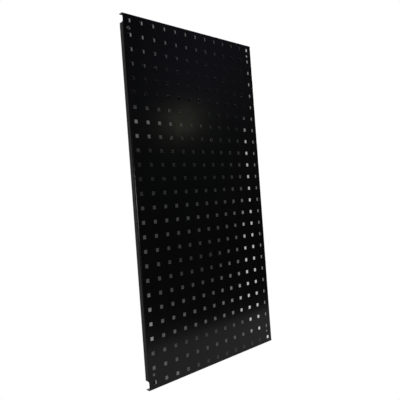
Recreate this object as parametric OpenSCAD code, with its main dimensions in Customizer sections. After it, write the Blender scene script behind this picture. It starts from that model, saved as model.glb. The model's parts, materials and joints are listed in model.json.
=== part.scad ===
// Square-hole tool panel, stood on end: one steel sheet, punched, notched at its corners and folded
// back on all four sides into a shallow pan that is open behind.
// X runs across the panel, Y from the front face backwards, Z up.
// The origin is the centre of the four mounting holes, in the plane of the front face.
// The sheet is divided along its bend lines: the flat face, and one folded edge on each side.

/* [Hole grid] */
// Distance between the centres of neighbouring holes, across and up
pitch = 38.1; // [35:0.1:42]
// Square holes across the panel
columns = 13; // [5:2:25]
// Square holes up the panel
rows = 26; // [8:2:50]
// Side of each square hole
hole_side = 9.5; // [6:0.1:12]

/* [Outline] */
// Outermost hole centre to the outer face of a side flange
side_margin = 18.9; // [16:0.1:24]
// Outermost hole centre to the outer face of the top or bottom flange
end_margin = 17.5; // [15:0.1:24]
// Depth of the folded edges, from the front face to their rear edge
pan_depth = 16; // [10:0.5:30]

/* [Sheet] */
// Thickness of the steel
sheet_t = 1.2; // [0.8:0.1:1.2]
// Outer radius of each bend
bend_r = 3; // [2.5:0.1:4]

/* [Corner notches] */
// Length cut from each end of the side flanges, measured from the panel's end
notch_len = 24; // [15:0.5:40]
// Depth of the side bend that is left beside a notch, from the front face
notch_floor = 1.4; // [1.4:0.1:2.4]
// Radius of a notch's inner corner
notch_r = 4; // [1:0.5:8]
// Width of the relief slit between a side bend and the bend above or below it
relief_gap = 0.6; // [0.3:0.1:1]

/* [Mounting holes] */
// Diameter of each round mounting hole
mount_d = 7.1; // [5:0.1:8]
// Diameter of the pressed seat for the screw's head, at the front face
seat_d = 11.5; // [9.5:0.1:13]

/* [Hidden] */
$fn = 96;
coat = "#1d1d1f";
// Width over which the screw seats and the sheet round them run into each other
seat_lap = 0.2;

// Centres of the outermost square holes
grid_x = (columns - 1) * pitch / 2;
grid_z = (rows - 1) * pitch / 2;
// Outside half sizes of the folded panel
half_w = grid_x + side_margin;
half_h = grid_z + end_margin;
// Half sizes of the flat face, which ends at the bend lines
face_x = half_w - bend_r;
face_z = half_h - bend_r;
// The mounting holes lie in the outer columns, halfway between the first two rows at each end
mount_x = grid_x;
mount_z = grid_z - pitch / 2;
// The seat is a 90 degree cone pressed into the sheet, so it is as deep as it is wide on one side
mount_r = mount_d / 2;
seat_r = seat_d / 2;
seat_depth = seat_r - mount_r;

// Outline of the flat face with everything that is punched out of it, as seen from the front
module punched_blank() {
    difference() {
        square([2 * face_x, 2 * face_z], center = true);
        for (column = [0 : columns - 1], row = [0 : rows - 1])
            translate([column * pitch - grid_x, row * pitch - grid_z])
                square(hole_side, center = true);
        at_mounts() circle(r = seat_r + seat_lap);
    }
}

// Puts its children at each mounting hole, in the plane of the punched blank
module at_mounts() {
    for (x = [-mount_x, mount_x], z = [-mount_z, mount_z]) translate([x, z]) children();
}

// Pressed conical seat: sheet of full thickness that dips behind the face, with the hole through it
module screw_seat() {
    slant_t = sheet_t * sqrt(2);
    heel_r = seat_r + slant_t - sheet_t;
    rim_r = heel_r + seat_lap;
    rotate_extrude()
        polygon([
            [mount_r, sheet_t - seat_depth], [seat_r, sheet_t], [rim_r, sheet_t],
            [rim_r, 0], [heel_r, 0], [mount_r, sheet_t - seat_depth - slant_t]
        ]);
}

// Section of a bend: a quarter ring from the face's bend line to the flange, outwards along +X
module bend_section() {
    translate([0, bend_r]) intersection() {
        difference() {
            circle(r = bend_r);
            circle(r = bend_r - sheet_t);
        }
        translate([0, -bend_r]) square(bend_r);
    }
}

// Section of a bend with its flange
module edge_section() {
    bend_section();
    translate([bend_r - sheet_t, bend_r]) square([sheet_t, pan_depth - bend_r]);
}

// Straight length of folded edge along Z, centred on the origin, with its bend line on the Z axis
module folded_edge(half_len) {
    translate([0, 0, -half_len]) linear_extrude(height = 2 * half_len) edge_section();
}

// Space of the notch at the upper end of a side flange, behind the part of the bend that is left
module notch() {
    translate([0, notch_floor, half_h - notch_len]) rotate([90, 0, 90])
        linear_extrude(height = 2 * bend_r) difference() {
            square([pan_depth, notch_len]);
            difference() {
                square(notch_r);
                translate([notch_r, notch_r]) circle(r = notch_r);
            }
        }
}

// Flange down one side, cut away down into its bend at both ends
module side_edge() {
    color(coat) translate([face_x, 0, 0]) difference() {
        folded_edge(face_z - relief_gap);
        notch();
        mirror([0, 0, 1]) notch();
    }
}

// Flange across the panel's end, as wide as the panel, so that it stands past the notches
module end_edge() {
    color(coat) rotate([0, -90, 0]) translate([face_z, 0, 0]) folded_edge(half_w);
}

// Built lying down with its front face up, then stood up with that face at y = 0
module face_sheet() {
    color(coat) translate([0, sheet_t, 0]) rotate([90, 0, 0]) {
        linear_extrude(height = sheet_t) punched_blank();
        at_mounts() screw_seat();
    }
}

module top_edge() end_edge();

module bottom_edge() mirror([0, 0, 1]) end_edge();

module left_edge() mirror([1, 0, 0]) side_edge();

module right_edge() side_edge();

face_sheet();
top_edge();
bottom_edge();
left_edge();
right_edge();
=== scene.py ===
"""The looks of a square-hole tool panel: black powder-coated sheet steel, stood on end on a pale floor.

Lengths are in metres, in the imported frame: X across the panel, Y from its front face backwards, Z up.
"""
import json
import math

import bmesh
import bpy
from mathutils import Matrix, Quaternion, Vector
from mathutils.geometry import delaunay_2d_cdt


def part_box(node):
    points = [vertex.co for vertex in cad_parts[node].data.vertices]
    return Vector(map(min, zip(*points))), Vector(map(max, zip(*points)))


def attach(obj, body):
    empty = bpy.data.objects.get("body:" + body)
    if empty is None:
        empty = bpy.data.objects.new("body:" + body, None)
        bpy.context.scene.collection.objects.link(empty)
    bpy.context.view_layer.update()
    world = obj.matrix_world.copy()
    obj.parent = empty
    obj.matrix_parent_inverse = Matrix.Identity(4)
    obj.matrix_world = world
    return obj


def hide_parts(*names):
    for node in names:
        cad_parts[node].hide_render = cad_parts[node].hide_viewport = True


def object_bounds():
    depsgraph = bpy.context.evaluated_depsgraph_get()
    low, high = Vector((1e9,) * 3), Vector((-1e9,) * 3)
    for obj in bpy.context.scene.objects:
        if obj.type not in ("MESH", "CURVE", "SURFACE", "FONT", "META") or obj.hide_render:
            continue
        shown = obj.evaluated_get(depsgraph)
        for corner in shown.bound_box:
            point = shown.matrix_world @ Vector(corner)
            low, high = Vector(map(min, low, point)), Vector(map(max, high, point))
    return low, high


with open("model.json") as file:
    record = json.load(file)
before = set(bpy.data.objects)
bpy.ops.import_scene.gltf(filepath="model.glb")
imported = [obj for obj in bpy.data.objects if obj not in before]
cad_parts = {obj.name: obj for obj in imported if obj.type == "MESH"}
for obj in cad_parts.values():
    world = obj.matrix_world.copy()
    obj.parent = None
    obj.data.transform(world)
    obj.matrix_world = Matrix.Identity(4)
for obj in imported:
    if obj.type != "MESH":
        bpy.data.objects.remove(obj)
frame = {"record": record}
cad_low, cad_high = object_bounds()

MM = 0.001

# ---------------------------------------------------------------- sizes

PITCH = 38.1 * MM
COLUMNS = 13
ROWS = 26
HOLE_SIDE = 9.5 * MM
HOLE_CORNER = 0.7 * MM  # radius of a punched hole's corners
SHEET_T = 1.2 * MM
NOTCH_LEN = 24 * MM
NOTCH_FLOOR = 1.4 * MM  # depth of the bend that is left beside a notch
NOTCH_CORNER = 4 * MM  # radius of a notch's inner corner
OUTLINE_CORNER = 0.8 * MM  # radius of the blank's own corners
RIM_ROUND = 0.22 * MM  # radius that the coat leaves on every cut edge

screws = next(m for m in frame["record"]["mounts"] if m["name"] == "screw_holes")
MOUNT_R = screws["dims"]["hole_r_mm"] * MM
MOUNT_X = screws["dims"]["spacing_x_mm"] * MM / 2
MOUNT_Z = screws["dims"]["spacing_y_mm"] * MM / 2
SEAT_R = 5.75 * MM
SEAT_SOFTENING = 1.0 * MM  # radius where the pressed seat turns into the flat sheet

half_w, pan_depth, half_h = cad_high
face_x, _, face_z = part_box("face_sheet")[1]
bend_r = half_w - face_x
rim_half_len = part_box("left_edge")[1].z

RIM_STEPS = 3  # steps in each arc of a rounded cut edge
CORNER_STEPS = 3  # and of a square hole's corner
EDGE_CORNER_STEPS = 6  # and of a corner of a folded edge's blank
BEND_STEPS = 12  # flats across a bend
ROUND_STEPS = 48  # sides of a screw hole
SHARP_ANGLE = math.radians(40)  # folds sharper than this are shaded as edges


# ---------------------------------------------------------------- plane outlines

def turned(v, angle):
    c, s = math.cos(angle), math.sin(angle)
    return Vector((v.x * c - v.y * s, v.x * s + v.y * c))


def round_corners(points, radii, steps, closed=True):
    """The path through points, with each corner turned on an arc of its own radius."""
    path = []
    for i, corner in enumerate(points):
        radius = radii[i]
        if radius <= 0 or (not closed and i in (0, len(points) - 1)):
            path.append(corner)
            continue
        before = (points[i - 1] - corner).normalized()
        after = (points[(i + 1) % len(points)] - corner).normalized()
        half_angle = before.angle(after) / 2
        reach = radius / math.tan(half_angle)
        centre = corner + (before + after).normalized() * (radius / math.sin(half_angle))
        spoke = corner + before * reach - centre
        last_spoke = corner + after * reach - centre
        sweep = math.copysign(spoke.angle(last_spoke), spoke.cross(last_spoke))
        path += [centre + turned(spoke, sweep * k / steps) for k in range(steps + 1)]
    return path


def inset_polygon(corners, edge_insets):
    """A counter-clockwise polygon with each edge moved inwards; edge i runs from corner i to the next."""
    lines = []
    for i, corner in enumerate(corners):
        along = (corners[(i + 1) % len(corners)] - corner).normalized()
        inwards = Vector((-along.y, along.x))
        lines.append((corner + inwards * edge_insets[i], along))
    moved = []
    for i in range(len(corners)):
        (p, d), (q, e) = lines[i - 1], lines[i]
        moved.append(p + d * ((q - p).cross(e) / d.cross(e)))
    return moved


def rounded_square(side, corner):
    h = side / 2
    points = [Vector((-h, -h)), Vector((h, -h)), Vector((h, h)), Vector((-h, h))]
    return round_corners(points, [corner] * 4, CORNER_STEPS)


def circle(radius):
    turns = [2 * math.pi * k / ROUND_STEPS for k in range(ROUND_STEPS)]
    return [Vector((radius * math.cos(a), radius * math.sin(a))) for a in turns]


def rim_levels():
    """(how far a cut edge is drawn back, depth) through the sheet, front to back, with both rims rounded."""
    c = RIM_ROUND
    section = [Vector((2 * c, 0)), Vector((0, 0)), Vector((0, SHEET_T)), Vector((2 * c, SHEET_T))]
    path = round_corners(section, [0, c, c, 0], RIM_STEPS, closed=False)
    return [(p.x, p.y) for p in path[1:-1]]


def seat_levels():
    """(radius, depth) down the front of a pressed screw seat, through its hole and up its back."""
    depth = SEAT_R - MOUNT_R
    slant = SHEET_T * math.sqrt(2)
    heel_r = SEAT_R + slant - SHEET_T
    flat = 3 * SEAT_SOFTENING
    section = [
        Vector((SEAT_R + flat, 0)), Vector((SEAT_R, 0)), Vector((MOUNT_R, depth)),
        Vector((MOUNT_R, depth + slant)), Vector((heel_r, SHEET_T)), Vector((heel_r + flat, SHEET_T)),
    ]
    radii = [0, SEAT_SOFTENING, RIM_ROUND, RIM_ROUND, SEAT_SOFTENING, 0]
    return [(p.x, p.y) for p in round_corners(section, radii, RIM_STEPS, closed=False)[1:-1]]


# ---------------------------------------------------------------- sheet-metal meshes

class Sheet:
    """A closed mesh of sheet metal, drawn as a flat pattern in u and v and put in place by a function."""

    def __init__(self, place, fold_lines=()):
        self.bm = bmesh.new()
        self.place = place  # (u, v, depth into the sheet) to a point in the frame
        self.fold_lines = fold_lines  # values of u where the sheet's surface turns
        self.rim = self.bm.verts.layers.float.new("rim")
        self.front, self.back = [], []

    def wall(self, loops, depths):
        """A cut edge through the sheet: loops of equal length, from the front skin to the back skin."""
        rings = []
        for loop, depth in zip(loops, depths):
            rings.append([self.bm.verts.new(self.place(p.x, p.y, depth)) for p in loop])
        for ring in rings[1:-1]:
            for vert in ring:
                vert[self.rim] = 1.0
        for ring, after in zip(rings, rings[1:]):
            for i in range(len(ring)):
                j = (i + 1) % len(ring)
                self.bm.faces.new((ring[i], ring[j], after[j], after[i]))
        self.front.append((loops[0], rings[0]))
        self.back.append((loops[-1], rings[-1]))

    def skin(self, walls):
        """Fills the surface between the first wall, the outline, and the other walls, the holes."""
        points, verts, edges, wall_of = [], [], [], []
        for number, (loop, ring) in enumerate(walls):
            first = len(points)
            points += loop
            verts += ring
            wall_of += [number] * len(loop)
            edges += [(first + i, first + (i + 1) % len(loop)) for i in range(len(loop))]
        for u in self.fold_lines:
            edges.append([i for i, p in enumerate(points) if abs(p.x - u) < 1e-7])
        faces, original = delaunay_2d_cdt(points, edges, [], 1, 1e-8)[2:4]
        for face in faces:
            known = [original[i][0] for i in face]
            around = {wall_of[i] for i in known}
            if around == {0} or len(around) > 1:
                self.bm.faces.new([verts[i] for i in known])

    def finish(self, name, node):
        self.skin(self.front)
        self.skin(self.back)
        bmesh.ops.recalc_face_normals(self.bm, faces=self.bm.faces)
        mesh = bpy.data.meshes.new(name)
        self.bm.to_mesh(mesh)
        self.bm.free()
        mesh.shade_smooth()
        mesh.set_sharp_from_angle(angle=SHARP_ANGLE)
        piece = bpy.data.objects.new(name, mesh)
        bpy.context.scene.collection.objects.link(piece)
        weighted = piece.modifiers.new("weighted_normals", "WEIGHTED_NORMAL")
        weighted.keep_sharp = True
        weighted.weight = 100
        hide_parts(node)
        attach(piece, "root")
        return piece


def make_face():
    """The flat front, with its grid of square holes and the four pressed screw seats."""
    sheet = Sheet(lambda u, v, depth: Vector((u, depth, v)))
    levels = rim_levels()
    depths = [depth for _, depth in levels]
    outline = [Vector((-face_x, -face_z)), Vector((face_x, -face_z)),
               Vector((face_x, face_z)), Vector((-face_x, face_z))]
    sheet.wall([outline, outline], [0, SHEET_T])
    squares = [rounded_square(HOLE_SIDE + 2 * back, HOLE_CORNER + back) for back, _ in levels]
    for column in range(COLUMNS):
        for row in range(ROWS):
            centre = Vector(((column - (COLUMNS - 1) / 2) * PITCH, (row - (ROWS - 1) / 2) * PITCH))
            sheet.wall([[centre + p for p in square] for square in squares], depths)
    for x in (-MOUNT_X, MOUNT_X):
        for z in (-MOUNT_Z, MOUNT_Z):
            centre = Vector((x, z))
            loops = [[centre + p for p in circle(radius)] for radius, _ in seat_levels()]
            sheet.wall(loops, [depth for _, depth in seat_levels()])
    return sheet.finish("panel_face", "face_sheet")


BEND_LEN = math.pi / 2 * bend_r  # length of the bend, measured on its outer surface


def bent(u, depth):
    """(outwards from the bend line, backwards from the front face) for a point of a folded edge's pattern."""
    angle = min(max(u / BEND_LEN, 0), 1) * math.pi / 2
    radius = bend_r - depth
    return radius * math.sin(angle), bend_r - radius * math.cos(angle) + max(u - BEND_LEN, 0)


def across_fold_lines(loop, fold_lines):
    """The loop with a point added wherever an edge of it crosses a fold line."""
    path = []
    for i, p in enumerate(loop):
        q = loop[(i + 1) % len(loop)]
        path.append(p)
        crossed = [u for u in fold_lines if (p.x - u) * (q.x - u) < 0]
        crossed.sort(reverse=q.x < p.x)
        path += [p.lerp(q, (u - p.x) / (q.x - p.x)) for u in crossed]
    return path


def turn_at(corners, i):
    """1 where the outline turns left at corner i, so that the corner sticks out, and -1 for a right turn."""
    before = corners[i] - corners[i - 1]
    after = corners[(i + 1) % len(corners)] - corners[i]
    return math.copysign(1, before.cross(after))


def make_edge(name, node, corners, radii, place):
    """A bend and its flange. The first edge of corners lies on the bend line and keeps its place."""
    fold_lines = [BEND_LEN * (k + 1) / BEND_STEPS for k in range(BEND_STEPS)]
    sheet = Sheet(place, fold_lines)
    levels = rim_levels()
    turns = [turn_at(corners, i) for i in range(len(corners))]
    loops = []
    for back, _ in levels:
        moved = inset_polygon(corners, [0] + [back] * (len(corners) - 1))
        shrunk = [max(radius - back * turn, 0) if radius else 0 for radius, turn in zip(radii, turns)]
        loops.append(across_fold_lines(round_corners(moved, shrunk, EDGE_CORNER_STEPS), fold_lines))
    sheet.wall(loops, [depth for _, depth in levels])
    return sheet.finish(name, node)


def make_side(name, node, side):
    """Side flange, cut away down into its bend at both ends."""
    low = bend_r * math.acos(1 - NOTCH_FLOOR / bend_r)
    full = BEND_LEN + pan_depth - bend_r
    end, notch = rim_half_len, half_h - NOTCH_LEN
    corners = [Vector(c) for c in [(0, end), (0, -end), (low, -end), (low, -notch),
                                   (full, -notch), (full, notch), (low, notch), (low, end)]]
    r = OUTLINE_CORNER
    radii = [0, 0, r / 2, NOTCH_CORNER, r, r, NOTCH_CORNER, r / 2]

    def place(u, v, depth):
        out, back = bent(u, depth)
        return Vector((side * (face_x + out), back, v))

    return make_edge(name, node, corners, radii, place)


def make_end(name, node, side):
    """End flange, as wide as the panel."""
    full = BEND_LEN + pan_depth - bend_r
    r = OUTLINE_CORNER
    corners = [Vector(c) for c in [(0, half_w), (0, -half_w), (full, -half_w), (full, half_w)]]

    def place(u, v, depth):
        out, back = bent(u, depth)
        return Vector((v, back, side * (face_z + out)))

    return make_edge(name, node, corners, [0, 0, r, r], place)


# ---------------------------------------------------------------- numbers in shader nodes

class Field:
    """A number that shader nodes work out at each point, with ordinary arithmetic."""

    def __init__(self, tree, socket):
        self.tree, self.socket = tree, socket

    def _with(self, operation, *values):
        node = self.tree.nodes.new("ShaderNodeMath")
        node.operation = operation
        for target, value in zip(node.inputs, values):
            feed(self.tree, value, target)
        return Field(self.tree, node.outputs[0])

    def __add__(self, other):
        return self._with("ADD", self, other)

    def __sub__(self, other):
        return self._with("SUBTRACT", self, other)

    def __rsub__(self, other):
        return self._with("SUBTRACT", other, self)

    def __mul__(self, other):
        return self._with("MULTIPLY", self, other)

    def __abs__(self):
        return self._with("ABSOLUTE", self)

    def or_more(self, other):
        return self._with("MAXIMUM", self, other)

    def fraction(self):
        return self._with("FRACT", self)

    def span(self, low, high, to_low, to_high):
        """Eases from to_low, where this is low, to to_high, where it is high, and stays there."""
        node = self.tree.nodes.new("ShaderNodeMapRange")
        node.interpolation_type = "SMOOTHSTEP"
        ends = {"Value": self, "From Min": low, "From Max": high, "To Min": to_low, "To Max": to_high}
        for name, value in ends.items():
            feed(self.tree, value, node.inputs[name])
        return Field(self.tree, node.outputs["Result"])

    def rise(self, low, high):
        return self.span(low, high, 0.0, 1.0)

    def fall(self, low, high):
        return self.span(low, high, 1.0, 0.0)


def feed(tree, value, target):
    """Gives a node's input a field, another node's output or a plain value."""
    if isinstance(value, Field):
        tree.links.new(value.socket, target)
    elif isinstance(value, bpy.types.NodeSocket):
        tree.links.new(value, target)
    else:
        target.default_value = value


def clear_tree(block):
    block.use_nodes = True
    block.node_tree.nodes.clear()
    return block.node_tree


def axes(tree, vector):
    node = tree.nodes.new("ShaderNodeSeparateXYZ")
    tree.links.new(vector, node.inputs[0])
    return [Field(tree, socket) for socket in node.outputs]


def noise(tree, vector, scale, detail=2.0, roughness=0.5):
    node = tree.nodes.new("ShaderNodeTexNoise")
    for name, value in (("Vector", vector), ("Scale", scale), ("Detail", detail), ("Roughness", roughness)):
        feed(tree, value, node.inputs[name])
    return Field(tree, node.outputs["Fac"])


# the colour sockets of a Mix node, which share their names with its other sockets
MIX_FACTOR, MIX_A, MIX_B, MIX_RESULT = 0, 6, 7, 2


def mix(tree, factor, a, b):
    node = tree.nodes.new("ShaderNodeMix")
    node.data_type = "RGBA"
    for slot, value in ((MIX_FACTOR, factor), (MIX_A, a), (MIX_B, b)):
        feed(tree, value, node.inputs[slot])
    return node.outputs[MIX_RESULT]


def grey(level, tint=(1, 1, 1)):
    return (level * tint[0], level * tint[1], level * tint[2], 1)


def shader(tree, kind, **inputs):
    """A node of this kind, with its inputs by name, where _ stands for a space."""
    node = tree.nodes.new(kind)
    for name, value in inputs.items():
        feed(tree, value, node.inputs[name.replace("_", " ")])
    return node


def mix_shader(tree, factor, a, b):
    node = tree.nodes.new("ShaderNodeMixShader")
    feed(tree, factor, node.inputs[0])
    tree.links.new(a.outputs[0], node.inputs[1])
    tree.links.new(b.outputs[0], node.inputs[2])
    return node


def surface(tree, node, kind="ShaderNodeOutputMaterial"):
    tree.links.new(node.outputs[0], tree.nodes.new(kind).inputs["Surface"])


# ---------------------------------------------------------------- the object's finish

def black_powder_coat():
    """Semi-gloss black: fine orange peel, uneven gloss, faint dust, thinner and greyer on cut edges."""
    material = bpy.data.materials.new("black_powder_coat")
    tree = clear_tree(material)
    where = tree.nodes.new("ShaderNodeTexCoord").outputs["Object"]

    film = noise(tree, where, 9.0, 3.0)
    dust = noise(tree, where, 34.0, 6.0, 0.65).rise(0.50, 0.80)
    rim = tree.nodes.new("ShaderNodeAttribute")
    rim.attribute_name = "rim"
    rubbed = Field(tree, rim.outputs["Fac"]) * noise(tree, where, 420.0, 3.0).span(0.40, 0.70, 0.05, 0.40)

    colour = mix(tree, film, grey(0.0055), grey(0.0080, (1, 1, 1.04)))
    colour = mix(tree, dust * 0.03, colour, grey(0.08, (1, 0.97, 0.93)))
    colour = mix(tree, rubbed, colour, grey(0.055))

    gloss = noise(tree, where, 14.0, 4.0).span(0.3, 0.7, 0.17, 0.21) + dust * 0.05
    bump = shader(tree, "ShaderNodeBump", Strength=0.4, Distance=0.00003, Height=noise(tree, where, 560.0))
    coat = shader(tree, "ShaderNodeBsdfPrincipled", Base_Color=colour, Roughness=gloss, IOR=1.5)
    tree.links.new(bump.outputs["Normal"], coat.inputs["Normal"])
    surface(tree, coat)
    return material


# ---------------------------------------------------------------- the object

pieces = [
    make_face(),
    make_end("panel_top_edge", "top_edge", 1),
    make_end("panel_bottom_edge", "bottom_edge", -1),
    make_side("panel_left_edge", "left_edge", -1),
    make_side("panel_right_edge", "right_edge", 1),
]
powder_coat = black_powder_coat()
for piece in pieces:
    piece.data.materials.append(powder_coat)


# ---------------------------------------------------------------- camera

# It stands in front of the panel and to its left, at the height of its middle, with a slight roll.
CAMERA_AT = Vector((-0.8657, -0.9512, -0.0110))
LOOKS_AT = Vector((-0.0263, 0, -0.0080))
CAMERA_ROLL = math.radians(4.2)

camera_data = bpy.data.cameras.new("camera")
camera_data.sensor_width = 36
camera_data.lens = 38.95
camera_data.clip_start = 0.05
camera_data.clip_end = 60
camera = bpy.data.objects.new("camera", camera_data)
bpy.context.scene.collection.objects.link(camera)
camera.rotation_mode = "QUATERNION"
camera.location = CAMERA_AT
aim = (LOOKS_AT - CAMERA_AT).to_track_quat("-Z", "Y")
camera.rotation_quaternion = aim @ Quaternion((0, 0, 1), -CAMERA_ROLL)
bpy.context.scene.camera = camera


# ---------------------------------------------------------------- floor, backdrop and light

WHITE = (1, 1, 1, 1)
FLOOR_REACH = 6.0
WALL_DEPTH = 8 * MM  # how far the sheet with painted light and shade stands behind the panel's front face
WALL_CLEARANCE = 10 * MM  # how far it stays from the left bend, to be out of sight through the left notches


def seen_white(tree, dim, kind):
    """White where it is looked at, and dim where it lights or is mirrored in the object."""
    path = tree.nodes.new("ShaderNodeLightPath")
    white = shader(tree, kind, Color=WHITE, Strength=1.0)
    return mix_shader(tree, path.outputs["Is Camera Ray"], dim, white)


def patch(tree, direction, towards, width, height):
    """1 in one direction of the sky, fading to 0 at width and height from it, measured on the unit sphere."""
    centre = Vector(towards).normalized()
    offset = tree.nodes.new("ShaderNodeVectorMath")
    offset.operation = "SUBTRACT"
    feed(tree, direction, offset.inputs[0])
    feed(tree, centre, offset.inputs[1])
    scaled = tree.nodes.new("ShaderNodeVectorMath")
    scaled.operation = "MULTIPLY"
    feed(tree, offset.outputs[0], scaled.inputs[0])
    feed(tree, (1 / width, 1 / width, 1 / height), scaled.inputs[1])
    length = tree.nodes.new("ShaderNodeVectorMath")
    length.operation = "LENGTH"
    feed(tree, scaled.outputs[0], length.inputs[0])
    return Field(tree, length.outputs["Value"]).fall(0.0, 1.0)


def tinted(tree, level, tint):
    node = tree.nodes.new("ShaderNodeVectorMath")
    node.operation = "SCALE"
    feed(tree, tint, node.inputs[0])
    feed(tree, level, node.inputs["Scale"])
    return node.outputs[0]


def sum_of(tree, colours):
    total = colours[0]
    for colour in colours[1:]:
        node = tree.nodes.new("ShaderNodeVectorMath")
        feed(tree, total, node.inputs[0])
        feed(tree, colour, node.inputs[1])
        total = node.outputs[0]
    return total


def studio():
    """A dark room in front of the object, and a pale backdrop behind it.

    The room is a little lighter high up, with a faint violet glow to the right.
    """
    world = bpy.data.worlds.new("studio")
    bpy.context.scene.world = world
    tree = clear_tree(world)
    direction = tree.nodes.new("ShaderNodeTexCoord").outputs["Generated"]
    right, back, up = axes(tree, direction)
    room = up.span(-0.25, 0.25, 0.010, 0.040) * right.span(0.50, 0.63, 0.33, 1.0)
    backdrop = back.span(0.10, 0.75, 0.0, 0.30) * (right.rise(-0.3, 0.6) * up.rise(-0.4, 0.5) * 1.6 + 1.0)
    violet_glow = patch(tree, direction, (0.88, -1.0, 0.42), 0.22, 0.20) * 0.105
    colours = [
        tinted(tree, room, (0.97, 0.97, 1.06)),
        tinted(tree, backdrop, (0.98, 0.99, 1.03)),
        tinted(tree, violet_glow, (0.56, 0.49, 0.96)),
    ]
    dim = shader(tree, "ShaderNodeBackground", Color=sum_of(tree, colours))
    surface(tree, seen_white(tree, dim, "ShaderNodeBackground"), "ShaderNodeOutputWorld")


def rectangle(name, corners, material):
    mesh = bpy.data.meshes.new(name)
    mesh.from_pydata(corners, [], [tuple(range(len(corners)))])
    mesh.materials.append(material)
    sheet = bpy.data.objects.new(name, mesh)
    bpy.context.scene.collection.objects.link(sheet)
    return sheet


def floor():
    """A pale floor. Where it lights or is mirrored in the object it carries painted light, a pool behind the
    panel and close in front of it, falling away into the dark room, and a thin painted shade along the
    panel's foot.
    """
    material = bpy.data.materials.new("pale_floor")
    tree = clear_tree(material)
    x, y, _ = axes(tree, tree.nodes.new("ShaderNodeNewGeometry").outputs["Position"])
    # painted light: a pool behind the panel and close in front of it, and a faint patch further out to the
    # front left
    painted_light_near = y.span(-0.33, -0.25, 0.012, 0.285) + (x + y).rise(-0.10, 0.60) * y.rise(-0.33, -0.25) * 0.05
    # painted shade: the floor goes dark within 6 mm of the panel's foot, on both sides
    painted_floor_light = abs(y).rise(0.001, 0.006) * painted_light_near.or_more(x.fall(0.05, 0.45) * y.span(-0.80, -0.33, 0.0, 0.06))
    dim = shader(tree, "ShaderNodeEmission", Color=tinted(tree, painted_floor_light, (0.98, 0.98, 1.03)))
    surface(tree, seen_white(tree, dim, "ShaderNodeEmission"))
    reach, low = FLOOR_REACH, cad_low.z
    corners = [(-reach, -reach, low), (reach, -reach, low), (reach, reach, low), (-reach, reach, low)]
    rectangle("floor", corners, material)


def painted_light_past_the_panel(column, row):
    """Painted light and shade seen through each square hole: how bright it is, by its place in the grid,
    counted from the top left.
    """
    across = (column + 0.5).fraction() - 0.5  # within a hole: from -0.12 at its left to 0.12 at its right
    right_half = across.rise(-0.03, 0.03)

    # painted light and shade: the wall gets brighter downwards, and two painted bands of light across its
    # upper rows fade to the right
    top = (row + column * 0.3).fall(0.0, 4.4) * column.span(-1.0, 3.5, 0.195, 0.130) * right_half
    streak = row.rise(5.5, 7.2) * (row + column * 0.25).fall(7.2, 9.4) * column.span(-1.5, 7.0, 0.125, 0.008)
    middle = row.rise(5.0, 9.0) * 0.008 + row.rise(11.0, 14.5) * 0.033 + 0.002
    middle += row.rise(12.0, 15.0) * column.fall(0.0, 0.8) * 0.012
    middle += abs(row - 17.0).fall(0.0, 3.5) * column.rise(0.5, 3.0) * -0.020
    low = row.rise(18.0, 22.0) * 0.040
    low += row.rise(17.5, 22.0) * column.fall(0.0, 1.1) * 0.130
    low += row.rise(15.0, 20.5) * row.fall(21.0, 23.0) * column.rise(6.0, 8.5) * 0.065
    halo = (column + row * 0.19).rise(9.5, 12.5) * row.rise(6.0, 12.0) * 0.035
    wall = (middle + low + halo) * row.fall(22.3, 22.8) + top + streak

    # painted light and shade behind the last rows
    painted_low_rows_light = abs(row - 24.0).fall(0.0, 1.1) * 0.022 + row.fall(24.4, 24.9) * column.rise(5.0, 10.0) * 0.045
    painted_low_rows_light = row.rise(22.3, 22.8) * (painted_low_rows_light + 0.036)
    # painted light and shade in the lower left corner of the grid
    corner = column.fall(3.0, 5.0) * 0.018 + abs(column - 2.0).fall(0.3, 1.3) * 0.065
    corner = row.rise(22.4, 23.2) * column.fall(0.8, 2.8) * 0.04 + row.rise(24.4, 24.9) * corner

    # a painted bright strip of light behind the right columns, whose left edge leans and whose lower end is
    # slanted
    leaning = (column + row * 0.19 - 12.75).rise(-0.78, 0.78)
    bright = (column - 10.6).rise(-0.4, 0.4).or_more(leaning) * row.rise(5.2, 9.0)
    bright *= row.span(8.0, 24.0, 0.39, 0.51)
    bright *= (row - column * 1.5 + 16.0).fall(24.4, 25.6) * row.fall(24.4, 24.7)

    light = (wall + painted_low_rows_light + corner).or_more(bright)
    # painted light: only the right half of the lowest left hole is lit
    lowest_left = row.rise(24.5, 24.6) * column.fall(0.4, 0.6)
    light *= (right_half * 1.9 - 1.0) * lowest_left + 1.0

    # painted light for the last column, which looks past the side flange; the flange hides the right of each
    # hole except at the notches
    last = column.rise(11.55, 11.60)
    past_flange = row.fall(3.5, 5.5) * 0.06 + row.fall(0.4, 0.6) * 0.28 + row.rise(11.0, 18.0) * 0.04 + 0.15
    past_flange = column.fall(11.97, 12.02) * past_flange
    open_notch = row.rise(24.6, 24.9) * 0.6
    return light * (1.0 - last) + last * past_flange.or_more(open_notch)


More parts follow.
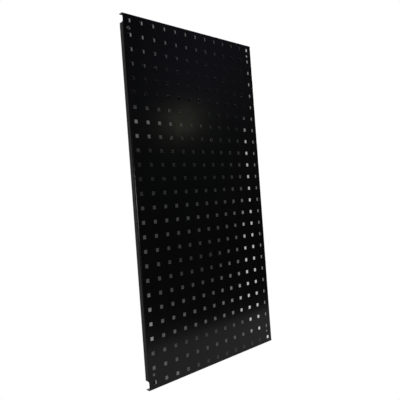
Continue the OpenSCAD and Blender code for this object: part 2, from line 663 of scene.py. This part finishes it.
def painted_wall_behind():
    """A sheet that glows with painted light and shade: the dim far side of the studio in the panel's shadow,
    as the square holes show it.

    It stands close behind the panel and is seen from the front only. It lights nothing and isn't mirrored.
    """
    material = bpy.data.materials.new("painted_light_and_shade_wall")
    tree = clear_tree(material)
    x, _, z = axes(tree, tree.nodes.new("ShaderNodeTexCoord").outputs["Object"])

    # seen from the camera, the part of the wall in a hole is a little wider and further right than the hole
    spread = 1 + WALL_DEPTH / abs(CAMERA_AT.y)
    shift = CAMERA_AT.x * (1 - spread)
    column = (x - shift) * (1 / (spread * PITCH)) + (COLUMNS - 1) / 2
    row = z * (-1 / (spread * PITCH)) + (ROWS - 1) / 2

    # painted light: the sheet glows with the painted pattern, though it is no lamp
    glow = shader(tree, "ShaderNodeEmission", Color=WHITE, Strength=painted_light_past_the_panel(column, row))
    away = tree.nodes.new("ShaderNodeNewGeometry").outputs["Backfacing"]
    surface(tree, mix_shader(tree, away, glow, shader(tree, "ShaderNodeBsdfTransparent")))

    left, right, top, y = WALL_CLEARANCE - face_x, face_x, face_z, WALL_DEPTH
    corners = [(left, y, -top), (right, y, -top), (right, y, top), (left, y, top)]
    wall = rectangle("painted_light_and_shade_wall", corners, material)
    for ray in ("diffuse", "glossy", "transmission", "volume_scatter", "shadow"):
        setattr(wall, "visible_" + ray, False)


def softbox(name, at, towards, size, power, colour=(1, 1, 1)):
    """A rectangular lamp of this size, which faces a point. Its power is in watts."""
    data = bpy.data.lights.new(name, "AREA")
    data.shape = "RECTANGLE"
    data.size, data.size_y = size
    data.energy = power
    data.color = colour
    lamp = bpy.data.objects.new(name, data)
    bpy.context.scene.collection.objects.link(lamp)
    lamp.location = at
    lamp.rotation_mode = "QUATERNION"
    lamp.rotation_quaternion = (Vector(towards) - Vector(at)).to_track_quat("-Z", "Y")


studio()
floor()
painted_wall_behind()
softbox("warm_lamp", (1.21, -1.55, 0.595), (0, 0, 0.1), (0.18, 0.17), 0.080, (0.97, 1.0, 0.66))
softbox("key_softbox", (-1.05, -1.15, 1.45), (0, 0, 0), (0.70, 0.70), 1.5)
softbox("overhead_softbox", (-0.25, 0.10, 2.0), (0, 0, 0.4), (0.70, 0.70), 5.0)
softbox("front_softbox", (-0.60, -2.20, -0.02), (0, 0, 0), (0.90, 0.36), 10.0, (0.96, 0.97, 1.0))
softbox("side_softbox", (1.75, 0.55, 0.75), (0, 0, 0), (0.80, 0.80), 14.0)

bpy.context.scene.view_settings.view_transform = "Standard"
